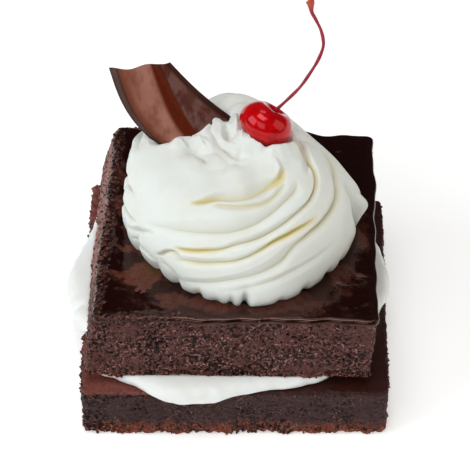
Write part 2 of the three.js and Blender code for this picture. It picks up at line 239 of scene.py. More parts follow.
# Torn lobes and folds of the crown, seen from above. Each line gives x, y and share of the full
# height; behind and before are the reaches to the left and the right of the line's way.
# A height below 0 presses in.
FOLDS = [
    # the peak beside the curl and the rim that runs up to it
    {"height": 3.2, "behind": 2.2, "before": 4.0, "line": [
        (-10, 7.0, 0.15), (-8.8, 9.0, 0.45), (-7.4, 10.8, 0.75), (-5.8, 12.6, 1), (-4.4, 12.6, 0.8),
        (-2.8, 12.4, 0.5)]},
    # the column beside the cherry
    {"height": 3.0, "behind": 1.6, "before": 1.4, "line": [
        (-0.2, 14.4, 0.8), (0.2, 12.6, 1), (0.4, 10, 0.6), (0.2, 7.6, 0.2)]},
    {"height": -3.2, "behind": 1.5, "before": 1.7, "line": [
        (-2.6, 12, 0.3), (-2.4, 9.5, 0.9), (-2.2, 7.4, 1), (-1.8, 5.6, 0.3)]},
    # lobes in front of the cherry
    {"height": 5.8, "behind": 2.2, "before": 3.6, "line": [
        (-0.4, 6.6, 0.1), (1.2, 5.0, 0.75), (2.8, 3.2, 1), (4.6, 1.5, 0.95), (6.6, 0.0, 0.65),
        (8.4, -0.8, 0.2)]},
    {"height": 4.0, "behind": 2.0, "before": 5.0, "line": [
        (8.8, -0.5, 0.3), (10.6, -0.9, 0.9), (12.6, -0.6, 1), (14.4, 0.4, 1), (16.2, 2.0, 0.8),
        (17.6, 4.4, 0.5), (18, 7, 0)]},
    {"height": -2.0, "behind": 1.6, "before": 2.0, "line": [
        (18.6, 7.6, 0.6), (19.6, 4.2, 1), (20.0, 0.8, 1), (20.6, -3, 0.8), (20.4, -7.6, 0)]},
    {"height": 1.8, "behind": 1.0, "before": 3.0, "line": [
        (-13.6, 5.2, 0), (-12.2, 6.4, 0.8), (-10.4, 6.2, 1), (-9.4, 4.6, 0.6), (-9.2, 2.6, 0)]},
    {"height": 1.6, "behind": 1.0, "before": 2.4, "line": [
        (-18.8, 2.6, 0), (-17.4, 4.6, 0.8), (-15.6, 5.4, 1), (-14.2, 4.4, 0.5), (-13.6, 2.8, 0)]},
    {"height": 1.6, "behind": 1.2, "before": 1.6, "line": [
        (-4.4, 8.4, 0), (-3.6, 5.4, 0.9), (-2.0, 2.8, 1), (0.2, 1.4, 0.8), (3.2, 0.6, 0.4)]},
    # folds between the lobes
    {"height": -1.6, "behind": 1.2, "before": 2.4, "line": [
        (-11.6, 7, 0), (-10.9, 4.6, 0.8), (-10.2, 0.8, 1), (-8.6, -2.6, 0.8), (-7.4, -5.2, 0)]},
    {"height": -1.6, "behind": 2.6, "before": 1.2, "line": [
        (-5.6, 7, 0), (-4.6, 4.4, 0.7), (-3.3, 2.0, 1), (-2.2, -0.2, 1), (-0.6, -2.2, 0.9),
        (2.6, -2.2, 0.9), (5.4, -1.8, 0.6), (7, -1.6, 0)]},
    {"height": 1.0, "behind": 2.2, "before": 2.4, "line": [
        (-8.2, 5.4, 0), (-7.0, 3.0, 0.8), (-6.2, 0, 1), (-5.2, -2.6, 0.7), (-4, -5, 0)]},
    {"height": 1.2, "behind": 1.2, "before": 1.6, "line": [
        (9.4, -4.6, 0), (11.6, -5.0, 0.8), (12.6, -7.2, 1), (11.8, -9.4, 0.7), (10, -10.6, 0)]},
    # the trough that the curl stands in
    {"height": -3.4, "behind": 5.0, "before": 2.2, "line": [
        (-25, 7, 0), (-22, 7.0, 0.7), (-19.4, 7.4, 1), (-17, 9.0, 0.9), (-13, 10.2, 0.7),
        (-10.4, 11, 0.6), (-8.6, 13.4, 0.5), (-5, 16, 0)]},
]

# Small torn lobes of the crown, seen from above
TORN = {"centre": (-4, 4), "radius": 14, "lobe": 6.4, "depth": 2.3}

# Where the cherry's syrup has run on the cream: x, y and half lengths
SYRUP_SPOT = (19.2, 3.6, 1.5, 3.2)

CURL = {
    # top left, top right, low left, low right
    "corners": [(-35.9, 17.8, 87.4), (-18.5, 19.6, 88.8), (-14, 4, 63.5), (5, 14.2, 67.4)],
    "thickness": 1.3,
    "bow": 3.2,
    "ripple": 0.5,
    "sag_way": (-0.85, 0, -0.5),
    "sag": (4.6, 1.4),      # how far it sags along its left and its right side
    "ragged": 0.5,          # how ragged the broken upper end is
    "fold": (0.84, 0.41),   # where the sheet folds, as a share of the way across, at its top and foot
    # the darker left edge is painted shade
    "rim": (0.15, 0.03),    # width of the darker left edge that turns back, at its top and foot
    "across": 70,
    "down": 110,
}

CHERRY = {
    "centre": (8.9, 7.9, 75.4),
    "lean": (0.5, 0.42, 0.76),      # the way its stalk end faces
    "radius": 8.1,
    "height": 12.8,
    "dimple": 3.0,
    "dimple_radius": 2.8,
    "columns": 160,
    "rows": 100,
}

STEM = {
    "route": [
        (10.9, 9.4, 78.2), (12.6, 9.8, 80.2), (15, 10.2, 82.8), (18.4, 11.5, 86.2), (21.4, 13.7, 89.9),
        (23.4, 15.3, 92.9), (24.7, 16.8, 95.9), (24.8, 17.8, 98), (24.1, 19, 100.6),
        (22.7, 20.3, 103.1), (21.5, 21.3, 105.1), (21.1, 22.4, 107.4), (20.6, 22.8, 108.3)],
    "radius": 0.46,
    "knob_radius": 1.25,
    "knob_length": 4.4,
    "sides": 24,
    "steps": 180,
}


# Arithmetic on many points at once

def smooth(t):
    """Goes smoothly from 0 to 1 as t does."""
    t = np.clip(t, 0, 1)
    return t * t * (3 - 2 * t)


def mix(a, b, share):
    return a + (b - a) * share


def bell(t):
    """1 at 0, and almost nothing past 2."""
    return np.exp(-(t ** 2))


def unit(ways):
    """Ways of length 1, from one way or many."""
    return ways / np.linalg.norm(ways, axis=-1, keepdims=True)


def turned_to(axis):
    """Two ways square to an axis, and the axis."""
    side = unit(np.cross((0, 1, 0), axis))
    return np.array([side, np.cross(axis, side), axis])


def near_angle(angle, middle, width):
    """A bump of height 1 round the middle of an angle, in degrees, that fades over its width."""
    off = (angle - middle + 180) % 360 - 180
    return bell(off / width)


def uneven(p, wavelength, phase=0.0):
    """Smooth, repeatable unevenness between -1 and 1."""
    k = math.tau / wavelength
    x, y, z = p.T
    return (np.sin(k * (x + 0.37 * y) + phase)
            + np.sin(k * (0.81 * y - 0.43 * z) + 2.1 * phase + 1)
            + np.sin(k * (0.66 * z - 0.54 * x) + 1.3 * phase + 4)) / 3


def grain(p, size, octaves=3):
    """Rough noise, about -1 to 1, whose largest grains have this size."""
    return np.array([noise.fractal(q, 1.0, 2.0, octaves) for q in (p / size).tolist()])


def cells(p, size):
    """Distance to the nearest of the points scattered a cell apart, in cells."""
    return np.array([noise.voronoi(q)[0][0] for q in (p / size).tolist()])


def curve_through(x, knots, values):
    """A smooth curve through a few values, level beyond the first and the last."""
    knots, values = np.asarray(knots, float), np.asarray(values, float)
    slopes = np.gradient(values, knots)
    slopes[0] = slopes[-1] = 0
    x = np.clip(x, knots[0], knots[-1])
    k = np.clip(np.searchsorted(knots, x, side="right") - 1, 0, len(knots) - 2)
    gap = knots[k + 1] - knots[k]
    t = (x - knots[k]) / gap
    return (values[k] * (1 + 2 * t) * (1 - t) ** 2 + gap * slopes[k] * t * (1 - t) ** 2
            + values[k + 1] * t * t * (3 - 2 * t) + gap * slopes[k + 1] * t * t * (t - 1))


def past_four(a, b, c, d, t):
    """A place between b and c, at t from 0 to 1, on the smooth curve that goes on to a and d."""
    return b + 0.5 * t * (c - a + t * (2 * a - 5 * b + 4 * c - d + t * (3 * b - a - 3 * c + d)))


def lengths_along(line):
    """How far along a line each of its places lies."""
    return np.concatenate([[0], np.cumsum(np.linalg.norm(np.diff(line, axis=0), axis=1))])


def closed_curve(points, count):
    """count places, evenly spaced by length, on a smooth closed curve through points."""
    points = np.asarray(points, float)
    fine = 40
    t = np.arange(fine)[:, None] / fine
    arcs = []
    for k in range(len(points)):
        four = (points[(k + step) % len(points)] for step in (-1, 0, 1, 2))
        arcs.append(past_four(*four, t))
    return even_spacing(np.concatenate(arcs), count)


def even_spacing(ring, count):
    """count places, evenly spaced by length, round a closed ring of places."""
    closed = np.vstack([ring, ring[:1]])
    travelled = lengths_along(closed)
    wanted = np.arange(count) / count * travelled[-1]
    return np.column_stack([np.interp(wanted, travelled, column) for column in closed.T])


# Meshes

def finish_mesh(bm, name):
    """Makes a smooth-shaded piece of a bmesh and puts it in the scene."""
    mesh = bpy.data.meshes.new(name)
    bm.to_mesh(mesh)
    bm.free()
    mesh.shade_smooth()
    piece = bpy.data.objects.new(name, mesh)
    bpy.context.scene.collection.objects.link(piece)
    return piece


def places_of(piece):
    """A piece's points as they stand in its mesh."""
    flat = np.zeros(len(piece.data.vertices) * 3, np.float32)
    piece.data.vertices.foreach_get("co", flat)
    return flat.reshape(-1, 3).astype(float)


def set_places(piece, places):
    """Moves a piece's points to places in millimetres."""
    piece.data.vertices.foreach_set("co", (places * MM).astype(np.float32).ravel())
    piece.data.update()


def paint(piece, **values):
    """Keeps one number a point, under its name, for the finish to read."""
    for name, numbers in values.items():
        layer = piece.data.attributes.new(name, "FLOAT", "POINT")
        layer.data.foreach_set("value", np.asarray(numbers, np.float32))


def paint_evenly(piece, **values):
    """Keeps the same number at every point, under its name."""
    ones = np.ones(len(piece.data.vertices))
    paint(piece, **{name: value * ones for name, value in values.items()})


FINE = 4      # a spun skin is subdivided this many times each way


def spun_skin(name, columns, rows):
    """A closed spindle spun round Z, with the column and the row of each of its points.
    columns and rows are multiples of FINE."""
    bm = bmesh.new()
    coarse = rows // FINE
    line = [bm.verts.new((math.sin(math.pi * row / coarse), 0, row * FINE)) for row in range(coarse + 1)]
    edges = [bm.edges.new(pair) for pair in zip(line, line[1:])]
    bmesh.ops.spin(bm, geom=line + edges, cent=(0, 0, 0), axis=(0, 0, 1), angle=math.tau,
                   steps=columns // FINE, use_merge=True)
    bmesh.ops.remove_doubles(bm, verts=bm.verts, dist=1e-5)
    bmesh.ops.subdivide_edges(bm, edges=bm.edges, cuts=FINE - 1, use_grid_fill=True)
    bmesh.ops.recalc_face_normals(bm, faces=bm.faces)
    piece = finish_mesh(bm, name)
    x, y, z = places_of(piece).T
    row = np.rint(z).astype(int)
    column = np.rint(np.arctan2(y, x) / math.tau * columns).astype(int) % columns
    return piece, column, row


def fill_rows(rows, top, edge, count, ease):
    """Adds rings from the rim to the middle of a top, at least count and to a multiple of FINE."""
    count += -(len(rows) - 1 + count) % FINE
    rows += [(1 - (k / count) ** ease, edge, *top) for k in range(1, count + 1)]
    return np.array(rows, float)


# Brownie squares

def rounded_outline(corners, radius, count):
    """An outline with rounded corners, as evenly spaced places from its first corner on."""
    corners = np.asarray(corners, float)
    t = np.linspace(0, 1, 12)[:, None]
    ring = []
    for k, corner in enumerate(corners):
        ways = (corners[k - 1] - corner, corners[(k + 1) % len(corners)] - corner)
        before, after = (corner + way * radius / np.linalg.norm(way) for way in ways)
        ring.append((1 - t) ** 2 * before + 2 * t * (1 - t) * corner + t * t * after)
    return even_spacing(np.concatenate(ring), count)


def facing_out(ring):
    """The way a closed ring faces at each of its places."""
    along = np.roll(ring, -3, axis=0) - np.roll(ring, 3, axis=0)
    return unit(np.column_stack([along[:, 1], -along[:, 0]]))


def round_edge(steps=6):
    """Angles over a rounded edge."""
    return [math.pi / 2 * k / steps for k in range(steps + 1)]


def slab_section(spec, under_rings=6, top_rings=22):
    """Rows from the middle of the underside to the middle of the top: share of the way out,
    inset, height, and how much the surface faces up."""
    edge, bottom, top = spec["edge_radius"], spec["bottom"], spec["top"]
    rows = [(k / under_rings, edge, bottom, -1) for k in range(under_rings)]
    for angle in round_edge():
        rise = edge * (1 - math.cos(angle))
        rows.append((1, edge * (1 - math.sin(angle)), bottom + rise, -math.cos(angle)))
    for k in range(1, spec["wall_rows"]):
        rows.append((1, 0, mix(bottom + edge, top - edge, k / spec["wall_rows"]), 0))
    for angle in round_edge():
        rows.append((1, edge * (1 - math.cos(angle)), top - edge * (1 - math.sin(angle)), math.sin(angle)))
    return fill_rows(rows, (top, 1), edge, top_rings, 1.3)


def wall_place(spec, column, columns, share, inset, z):
    """Places on a slab at a share of the way out and an inset from its wall, at a height, and
    the way the wall faces there."""
    ring = rounded_outline(spec["corners"], spec["corner_radius"], columns)
    foot = rounded_outline(spec["foot"], spec["corner_radius"], columns)
    middle = ring.mean(0)
    facing = facing_out(ring)[column]
    fall = np.clip((spec["top"] - z) / (spec["top"] - spec["bottom"]), 0, 1) ** WALL_CURVE
    here = mix(ring[column], foot[column], fall[:, None]) - middle
    reach = np.linalg.norm(here, axis=1)
    flat = middle + here * ((1 - inset / reach) * share)[:, None]
    p = np.column_stack([flat, z])
    wander = spec["relief"] * (uneven(p, 23, 1) + 0.7 * uneven(p, 8, 2)) * share ** 6
    p[:, :2] += facing * wander[:, None]
    return p, facing


def slab(name, spec):
    """A brownie square: porous cut walls, a crumbly crust at the foot and a smooth baked top."""
    section = slab_section(spec)
    piece, column, row = spun_skin(name, spec["columns"], len(section) - 1)
    share, inset, z, up = section[row].T
    p, facing = wall_place(spec, column, spec["columns"], share, inset, z)
    side = np.sqrt(1 - up ** 2)
    normal = np.column_stack([facing * side[:, None], up])
    on_wall = share == 1
    below_top = spec["top"] - z
    crust = smooth(1.5 - (z - spec["bottom"]) / spec["crust"] * 1.4 + 0.6 * grain(p, 2.6)) * on_wall

    # pores and clods of the cut walls
    pore = np.zeros(len(p))
    clod = np.zeros(len(p))
    q = p[on_wall]
    left_end = 0.4 * smooth((-q[:, 0] - 16) / 18) * spec["left_open"]
    opened = spec["pore_share"] + 0.5 * grain(q, 13, 2) + left_end
    cracks = smooth((opened - 0.85 - grain(q, 1.0, 3)) / 0.22)
    holes = smooth((0.6 * opened - cells(q, 1.15) - 0.2 * grain(q + 20, 0.8)) / 0.14)
    pore[on_wall] = np.maximum(cracks, holes)
    clod[on_wall] = grain(q + 60, 1.3, 4)

    # the baked top closes them, and its left edge is ragged
    top_skin = smooth((spec["edge_radius"] - below_top) / spec["edge_radius"]) * (up > 0.5)
    pore *= 1 - spec["smooth_top"] * top_skin
    ragged = smooth((2.6 - below_top) / 1.4) * smooth((-p[:, 0] - 4) / 16) * on_wall
    relief = (0.42 + 0.5 * crust + 0.9 * ragged) * clod * on_wall - spec["pores"] * pore
    relief += 0.12 * grain(p, 5, 3) * (share < 1) * (up > 0)
    p += normal * relief[:, None]
    p[:, 2] = np.maximum(p[:, 2], spec["bottom"])
    set_places(piece, p)

    # painted light: the left wall, which faces the key light, is painted paler
    left_wall = smooth(-1.5 * facing[:, 0]) * smooth((p[:, 1] + 34) / 26) * on_wall
    # left can open the crumb towards the left end, and the finish paints the top skin lit there and in
    # shade towards the right
    left = smooth((-p[:, 0] - 2) / 26)
    open_crumb = spec["open_crumb"] + 1.1 * grain(p, 9, 2) + 0.3 * smooth((below_top - 4) / 6)
    open_crumb += 0.1 * left * spec["left_open"] + 1.1 * ragged + 0.2 * crust
    paint(piece, pore=pore, crust=crust, top_skin=top_skin, open_crumb=np.clip(open_crumb, 0, 1),
          left=left, left_wall=left_wall)
    return piece


# Chocolate glaze on the upper square

def glaze_section(edge, inner_rings=5, wall_rows=9, top_rings=70):
    """Rows from the middle of the inner face, out, round the lip and back over the top: share
    of the way out, inset, drop below the top, share of the lip's drop, and thickness share."""
    rows = [(k / inner_rings, edge, 0, 0, -1) for k in range(inner_rings)]
    rows += [(1, edge * (1 - math.cos(a)), edge * (1 - math.sin(a)), 0, -1) for a in reversed(round_edge())]
    rows += [(1, 0, edge, k / 3, -1) for k in range(1, 4)]
    rows += [(1, 0, edge, 1.0, -0.2), (1, 0, edge, 1.0, 0.4)]
    for k in range(wall_rows + 1):
        fall = 1 - k / wall_rows
        rows.append((1, 0, edge, 0.96 * fall, math.sqrt(1 - fall ** 2) * 0.6 + 0.4))
    rows += [(1, edge * (1 - math.cos(a)), edge * (1 - math.sin(a)), 0, 1) for a in round_edge(9)[1:]]
    return fill_rows(rows, (0, 0, 1), edge, top_rings, 1.25)


def clouds(p):
    """How strongly reflection is painted on the glaze at places: patches with wispy edges."""
    cloud = np.zeros(len(p))
    wisps = grain(p, 9, 5) + 0.55 * grain(p, 3.2, 6)
    for x, y, half_x, half_y, strength in CLOUDS:
        away = np.hypot((p[:, 0] - x) / half_x, (p[:, 1] - y) / half_y)
        cloud = np.maximum(cloud, strength * smooth(2 * (1.3 - away) + 2.2 * wisps))
    return cloud


def glaze():
    """The skin of glaze over the top and its rim, bubbly along the left and the near left."""
    edge = UPPER["edge_radius"]
    section = glaze_section(edge)
    piece, column, row = spun_skin("chocolate_glaze", GLAZE["columns"], len(section) - 1)
    share, inset, drop, lip_share, side = section[row].T
    ring = rounded_outline(UPPER["corners"], UPPER["corner_radius"], GLAZE["columns"])
    rim = np.column_stack([ring, np.full(len(ring), UPPER["top"])])
    wave = uneven(rim, 26, 2) + 0.8 * uneven(rim, 9, 5) + 0.4 * grain(rim, 2.5)
    lip = GLAZE["lip"] + GLAZE["lip_wave"] * wave
    lip = np.maximum(lip * smooth((rim[:, 0] + 40) / 8), 0.08)[column]
    z = UPPER["top"] - drop - lip * lip_share
    p, facing = wall_place(UPPER, column, GLAZE["columns"], share, inset, z)
    up = np.where(share < 1, 1, 1 - drop / edge) * (drop < edge)
    normal = np.column_stack([facing * np.sqrt(1 - up ** 2)[:, None], up])
    outer = side > 0
    to_rim = (1 - share) * 39
    rimmed = bell(to_rim / 2.2) * outer
    left = smooth((-p[:, 0] - 30) / 8)
    front_left = 0.5 * smooth((-p[:, 1] - 26) / 8) * smooth((-p[:, 0] - 8) / 16)
    reach = 1.5 + 0.9 * grain(p, 3.5, 7)
    bubbly = np.clip(0.04 + left + front_left, 0, 1) * np.exp(-((to_rim / reach) ** 4)) * outer
    bubbly *= smooth(0.8 + 0.9 * grain(p, 4, 3))
    bubbles = smooth((0.5 - cells(p, 1.5)) / 0.4)
    thick = np.where(side < 0, side * GLAZE["sunk"], side * GLAZE["thickness"])
    thick += rimmed * GLAZE["bead"] * (0.6 + 0.4 * uneven(p, 7, 3))
    thick += bubbly * (0.55 * bubbles + 0.35 * np.abs(grain(p, 1.8)) * 2)
    thick += (0.22 * uneven(p, 15, 1) + 0.14 * grain(p, 5)) * outer * smooth(to_rim / 4)
    p += normal * thick[:, None]
    # a greener patch of painted reflection
    x, y, half_x, half_y = OLIVE_SPOT
    away = np.hypot((p[:, 0] - x) / half_x, (p[:, 1] - y) / half_y)
    olive = smooth(1.4 - away + 0.4 * grain(p, 3))
    dark_lip = bell(to_rim / 1.3) * smooth((p[:, 0] + 38) / 10) * outer
    set_places(piece, p)
    paint(piece, cloud=clouds(p), bubbly=bubbly, olive=olive, lip=dark_lip)
    return piece


# Cream between the squares

def inside_slab(spec, p):
    """How far inside a slab's outline, at its foot, places lie, in millimetres."""
    foot = np.asarray(spec["foot"], float)
    depth = np.full(len(p), 1e3)
    for k, corner in enumerate(foot):
        along = foot[(k + 1) % len(foot)] - corner
        inward = unit(np.array([-along[1], along[0]]))
        depth = np.minimum(depth, (p[:, :2] - corner) @ inward)
    return depth


# Section of the filling from the middle of its underside to the middle of its top: share of
# the way out, and height from the rim's lowest to its highest
FILLING_SHARES = [0, 0.3, 0.6, 0.8, 0.86, 0.93, 0.975, 0.995, 1, 0.995, 0.97, 0.93, 0.87, 0.8, 0.6, 0.3, 0]
FILLING_HEIGHTS = [0, 0, 0, 0, 0, 0.01, 0.08, 0.26, 0.5, 0.74, 0.92, 0.99, 1, 1, 1, 1, 1]


def filling():
    """The cream between the squares, whose rim hangs out over the lower one."""
    steps = np.linspace(0, len(FILLING_SHARES) - 1, FILLING["rows"] + 1)
    knots = np.arange(len(FILLING_SHARES))
    shares = np.clip(curve_through(steps, knots, FILLING_SHARES), 0, 1)
    heights = np.clip(curve_through(steps, knots, FILLING_HEIGHTS), 0, 1)
    shares[[0, -1]] = 0
    piece, column, row = spun_skin("cream_between", FILLING["columns"], FILLING["rows"])
    rim = closed_curve(FILLING_RIM, FILLING["columns"])[column]
    share, height = shares[row], heights[row]
    low = mix(LOWER_TOP - 0.4, rim[:, 2], smooth((share - 0.86) / 0.08))
    high = UPPER_BOTTOM + FILLING["swell"]
    p = np.column_stack([rim[:, 0] * share, rim[:, 1] * share, mix(low, high, height)])
    outside = smooth((share - 0.9) / 0.1)
    ripple = 0.35 * uneven(p, 11, 2) + 0.25 * uneven(p, 5, 4) + 0.2 * grain(p, 3)
    p[:, :2] *= (1 + ripple * outside / 46)[:, None]
    p[:, 2] += 0.4 * ripple * outside * smooth(height * 2)
    z = p[:, 2]
    under_upper = smooth((inside_slab(UPPER, p) + 0.3) / 0.9) * (height > 0.5)
    z[:] = mix(z, np.minimum(z, UPPER_BOTTOM + 0.25), under_upper)
    over_lower = smooth((inside_slab(LOWER, p) - 0.2) / 0.8) * (height < 0.5)
    z[:] = mix(z, np.maximum(z, LOWER_TOP - 0.2), over_lower)
    set_places(piece, p)
    paint_evenly(piece, crease=0, gold=0, shade=0, syrup=0)
    return piece


# Piped swirl

def cherry_axes():
    """The cherry's own ways, the last from its blossom end to its stalk."""
    return turned_to(unit(np.array(CHERRY["lean"])))


def seat_for_cherry(p, room=0.15):
    """Presses the cream out of the cherry's way, down and to the sides."""
    axes = cherry_axes()
    half = np.array([CHERRY["radius"], CHERRY["radius"], CHERRY["height"] / 2]) + room
    start = np.array((0, 0, CHERRY["radius"] * 0.45)) @ axes.T / half
    q = (p - CHERRY["centre"]) @ axes.T / half
    inside = np.linalg.norm(q, axis=1) < 1
    away = q[inside] - start
    ray = away / np.maximum(np.linalg.norm(away, axis=1), 1e-6)[:, None]
    along = -(ray @ start) + np.sqrt((ray @ start) ** 2 - start @ start + 1)
    p[inside] = (start + ray * along[:, None]) * half @ axes + CHERRY["centre"]
    return p


def folded(flat, line, behind, before):
    """How strongly a fold along a line shows at places seen from above, 0 to 1."""
    line = np.array(line, float)
    best = np.full(len(flat), np.inf)
    strength = np.zeros(len(flat))
    for start, end in zip(line, line[1:]):
        way = end[:2] - start[:2]
        gap = flat - start[:2]
        t = np.clip(gap @ way / (way @ way), 0, 1)
        away = np.linalg.norm(gap - t[:, None] * way, axis=1)
        left = way[0] * gap[:, 1] - way[1] * gap[:, 0] > 0
        scaled = away / np.where(left, behind, before)
        nearer = scaled < best
        best = np.minimum(best, scaled)
        strength = np.where(nearer, mix(start[2], end[2], t), strength)
    return strength * np.clip(1 - best, 0, 1) ** 1.3


def cut_creases(azimuth, share, r, z, hollow):
    """Cuts the drawn creases into the swirl's outward reach and height, and tells where shade is
    painted on the cream: in its hollows, golden deep in them, and on their shaded upper walls."""
    rise = share * math.pi / 2
    gold = np.zeros(len(r))
    shade = np.zeros(len(r))
    for crease in CREASES:
        knots, level, deep, golden, above = np.array(crease["line"], float).T
        along = knots[0] + (azimuth - knots[0]) % 360
        within = along <= knots[-1]
        off = share - curve_through(along, knots, level)
        deep = np.maximum(curve_through(along, knots, deep), 0) * within
        golden = np.clip(curve_through(along, knots, golden), 0, 1) * within
        above = curve_through(along, knots, above)
        upper_wall = np.clip(1 - off / above, 0, 1) ** 1.15
        lower_wall = 1 - np.sin(np.clip(-off / crease["below"], 0, 1) * math.pi / 2) ** 0.75
        valley = np.where(off > 0, upper_wall, lower_wall)
        r -= deep * valley * np.cos(rise * 0.9)
        z -= 0.8 * deep * valley * np.sin(rise)
        # where shade is painted: the shaded upper walls, the hollows, and golden deep in them
        shaded = valley * (off > 0) * np.clip(deep / 2.6, 0, 1) * smooth(above / 0.06)
        shade = np.maximum(shade, shaded)
        hollow = np.maximum(hollow, bell(off / 0.014) * (deep > 0) * np.clip(deep / 2, 0, 1))
        gold = np.maximum(gold, bell(off / 0.018) * (deep > 0) * golden)
    return hollow, gold, shade


def fold_crown(p, share, hollow):
    """Lifts the crown's folds, presses in those between them and tears its small lobes."""
    top = share > 0.5
    for fold in FOLDS:
        lift = folded(p[top, :2], fold["line"], fold["behind"], fold["before"])
        p[top, 2] += fold["height"] * lift
        # pressed-in folds get painted shade in their hollows
        hollow[top] = np.maximum(hollow[top], (lift - 0.5) * (fold["height"] < 0))
    x, y = TORN["centre"]
    to_edge = TORN["radius"] - np.hypot(p[:, 0] - x, p[:, 1] - y)
    torn = top & (to_edge > 0)
    lobes = cells(p[torn], TORN["lobe"]) ** 2
    p[torn, 2] -= TORN["depth"] * lobes * smooth(to_edge[torn] / 5)


def swirl():
    """The piped swirl: even ridges round the back, drawn creases at the front, a torn crown."""
    columns, rows = SWIRL["columns"], SWIRL["rows"]
    under = SWIRL["foot_rows"]
    base = UPPER_TOP + SWIRL["raised"]
    piece, column, row = spun_skin("piped_swirl", columns, rows + under)
    share = np.clip((row - under) / rows, 0, 1)
    spoke = 360 * column / columns
    azimuth = (spoke + SWIRL["sweep"] * share + 180) % 360 - 180
    ridge = spoke / 360 * SWIRL["ridges"]
    rise = share * math.pi / 2
    r = SWIRL["radius"] * np.cos(rise) ** SWIRL["flare"]
    r *= 1 - SWIRL["tuck"] * np.exp(-share / SWIRL["tuck_height"])
    z = SWIRL["height"] * np.sin(rise)
    for middle, width, level, spread, out, up in SWELLS:
        here = near_angle(azimuth, middle, width) * bell((share - level) / spread)
        r += out * here
        z += up * here

    from_front = np.abs((azimuth - SWIRL["front_middle"] + 180) % 360 - 180)
    front = smooth((SWIRL["front_half"] - from_front) / SWIRL["front_fade"])
    crown = smooth((share - 0.66) / 0.2)
    uneasy = 0.8 + 0.35 * np.sin(2.4 * np.rint(ridge))
    depth = SWIRL["ridge_depth"] * uneasy * (1 - 0.9 * crown) * (1 - front)
    crest = np.abs(np.cos(math.pi * ridge)) ** SWIRL["ridge_sharpness"] - 0.62
    r += crest * depth * np.cos(rise * 0.9) + SWIRL["front_swell"] * front * (1 - crown)
    z += crest * depth * np.sin(rise)
    # hollow marks where painted shade goes: the valleys between the even ridges
    hollow = np.clip(0.25 - crest - 0.62, 0, 1) * (1 - front)
    hollow, gold, shade = cut_creases(azimuth, share, r, z, hollow)
    for middle, width, deep, level in NICKS:
        r -= deep * near_angle(azimuth, middle, width) * bell(share / level)

    turn = np.radians(azimuth)
    out = r * np.where(row < under, row / under, 1)
    x, y = SWIRL["centre"]
    p = np.column_stack([x + out * np.cos(turn), y + out * np.sin(turn), z + base])
    p[row <= under, 2] = base
    lumps = (1.0 * uneven(p, 12, 3) + 0.35 * grain(p, 6, 1)) * crown + 0.3 * uneven(p, 21, 5)
    p[:, 2] += lumps * (row > under) * smooth(share / 0.1)
    fold_crown(p, share, hollow)
    pole = row == row.max()
    p[pole] = p[row == row.max() - 1].mean(0)
    p = seat_for_cherry(p)
    set_places(piece, p)
    x, y, half_x, half_y = SYRUP_SPOT
    syrup = bell((p[:, 0] - x) / half_x) * bell((p[:, 1] - y) / half_y) * (share > 0.5)
    paint(piece, crease=hollow, gold=gold, shade=shade, syrup=syrup)
    return piece


# Chocolate curl

def curl():
    """A broken piece of a thin chocolate sheet, bowed across and sagging along."""
    bm = bmesh.new()
    bmesh.ops.create_grid(bm, x_segments=CURL["across"], y_segments=CURL["down"], size=1)
    risen = bmesh.ops.extrude_face_region(bm, geom=bm.faces[:])
    top = [item for item in risen["geom"] if isinstance(item, bmesh.types.BMVert)]
    bmesh.ops.translate(bm, verts=top, vec=(0, 0, 1))
    bmesh.ops.recalc_face_normals(bm, faces=bm.faces)
    sharp = [edge for edge in bm.edges if edge.calc_face_angle(0) > 1]
    rim = [edge for edge in sharp if abs(edge.verts[0].co.z - edge.verts[1].co.z) < 0.5]
    bmesh.ops.bevel(bm, geom=rim, offset=0.012, segments=2, profile=0.5, affect="EDGES", material=-1)
    piece = finish_mesh(bm, "curl_of_chocolate")
    x, y, level = places_of(piece).T
    u, v = (x + 1) / 2, (1 - y) / 2
    corners = np.array(CURL["corners"], float)
    top_left, top_right, low_left, low_right = corners
    front = unit(np.cross(low_left - top_left, top_right - top_left))
    p = mix(mix(top_left, top_right, u[:, None]), mix(low_left, low_right, u[:, None]), v[:, None])
    bow = CURL["bow"] * (1 - (2 * u - 1) ** 2) + CURL["ripple"] * np.sin(9 * u + 3 * v)
    fold = mix(*CURL["fold"], v)
    rim = mix(*CURL["rim"], v)
    bow -= 1.5 * np.exp(-np.abs(u - fold) / 0.1) + 1.2 * smooth((rim - u) / rim)
    p += front * (bow + CURL["thickness"] * (level - 0.5))[:, None]
    p += np.array(CURL["sag_way"]) * (mix(*CURL["sag"], u) * np.sin(math.pi * v))[:, None]
    p[:, 2] += CURL["ragged"] * np.sin(11 * u + 1) * (1 - v)
    p += 0.1 * grain(p, 4)[:, None] * front
    set_places(piece, p)
    # the finish reads these to paint the curl's light and shade
    paint(piece, rim=u - rim, fold=u - fold, edge=1 - u)
    return piece


# Cherry and stem

def cherry():
    """The cherry, dimpled and grooved round its stalk."""
    columns, rows = CHERRY["columns"], CHERRY["rows"]
    piece, column, row = spun_skin("cherry_fruit", columns, rows)
    rise = (row / rows - 0.5) * math.pi
    turn = math.tau * column / columns
    r = CHERRY["radius"] * np.cos(rise)
    dip = CHERRY["dimple"] * bell(r / CHERRY["dimple_radius"])
    groove = 0.5 * bell((turn - 4.3) / 0.22) * bell(r / 5)
    z = np.sin(rise) * CHERRY["height"] / 2 - (dip + groove) * (row > rows / 2)
    local = np.column_stack([r * np.cos(turn), r * np.sin(turn), z])
    local *= (1 + 0.012 * uneven(local, 9, 1) + 0.006 * uneven(local, 4, 2))[:, None]
    pole = (row == 0) | (row == rows)
    local[pole, :2] = 0
    p = local @ cherry_axes() + CHERRY["centre"]
    set_places(piece, p)
    paint(piece, height=row / rows)
    return piece


